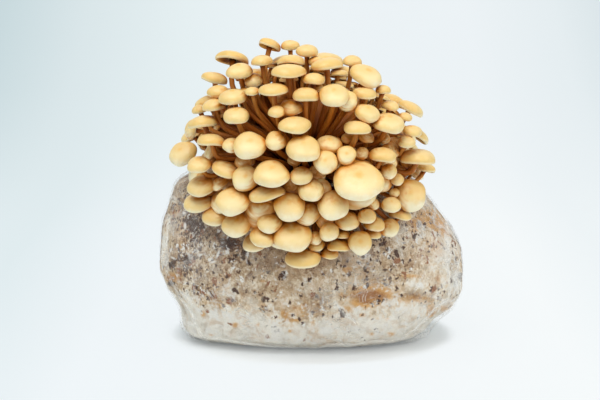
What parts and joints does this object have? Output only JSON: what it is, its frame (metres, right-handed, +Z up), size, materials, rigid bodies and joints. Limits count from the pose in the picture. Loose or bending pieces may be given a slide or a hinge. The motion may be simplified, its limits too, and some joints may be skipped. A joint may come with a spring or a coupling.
{
  "type": "mushroom grow kit",
  "caption": "Film-wrapped sawdust loaf lying on its flat side, with a dense dome of golden small-capped mushrooms growing out of the film's open mouth.",
  "frame": {"origin": "middle of the flat face that the loaf rests on", "axes": "+X along the loaf to the right as the picture shows it, -Y towards the viewer, the side the flush leans over, +Z up"},
  "size_m": [0.202, 0.1556, 0.1975],
  "materials": {
    "film": "clear creased film, glossy, whiter at its creases",
    "substrate": "white mycelium over flecked brown sawdust, matt",
    "mushroom": "smooth satin caps, golden cream; darker stems"
  },
  "bodies": {
    "root": {"film_bag": "film", "mushrooms_back_01": "mushroom", "mushrooms_back_02": "mushroom", "mushrooms_back_03": "mushroom", "mushrooms_back_04": "mushroom", "mushrooms_back_05": "mushroom", "mushrooms_back_06": "mushroom", "mushrooms_back_07": "mushroom", "mushrooms_back_08": "mushroom", "mushrooms_back_09": "mushroom", "mushrooms_back_10": "mushroom", "mushrooms_back_11": "mushroom", "mushrooms_back_12": "mushroom", "mushrooms_front_01": "mushroom", "mushrooms_front_02": "mushroom", "mushrooms_front_03": "mushroom", "mushrooms_front_04": "mushroom", "mushrooms_front_05": "mushroom", "mushrooms_front_06": "mushroom", "mushrooms_front_07": "mushroom", "mushrooms_front_08": "mushroom", "mushrooms_front_09": "mushroom", "mushrooms_front_10": "mushroom", "mushrooms_front_11": "mushroom", "mushrooms_front_12": "mushroom", "mushrooms_left_01": "mushroom", "mushrooms_left_02": "mushroom", "mushrooms_left_03": "mushroom", "mushrooms_left_04": "mushroom", "mushrooms_left_05": "mushroom", "mushrooms_left_06": "mushroom", "mushrooms_left_07": "mushroom", "mushrooms_left_08": "mushroom", "mushrooms_middle_01": "mushroom", "mushrooms_middle_02": "mushroom", "mushrooms_middle_03": "mushroom", "mushrooms_middle_04": "mushroom", "mushrooms_middle_05": "mushroom", "mushrooms_middle_06": "mushroom", "mushrooms_right_01": "mushroom", "mushrooms_right_02": "mushroom", "mushrooms_right_03": "mushroom", "mushrooms_right_04": "mushroom", "mushrooms_right_05": "mushroom", "mushrooms_right_06": "mushroom", "mushrooms_right_07": "mushroom", "mushrooms_right_08": "mushroom", "mushrooms_top_01": "mushroom", "mushrooms_top_02": "mushroom", "mushrooms_top_03": "mushroom", "mushrooms_top_04": "mushroom", "mushrooms_top_05": "mushroom", "mushrooms_top_06": "mushroom", "mushrooms_top_07": "mushroom", "mushrooms_top_08": "mushroom", "mushrooms_top_09": "mushroom", "mushrooms_top_10": "mushroom", "mushrooms_top_11": "mushroom", "substrate_block": "substrate"}
  },
  "joints": []
}
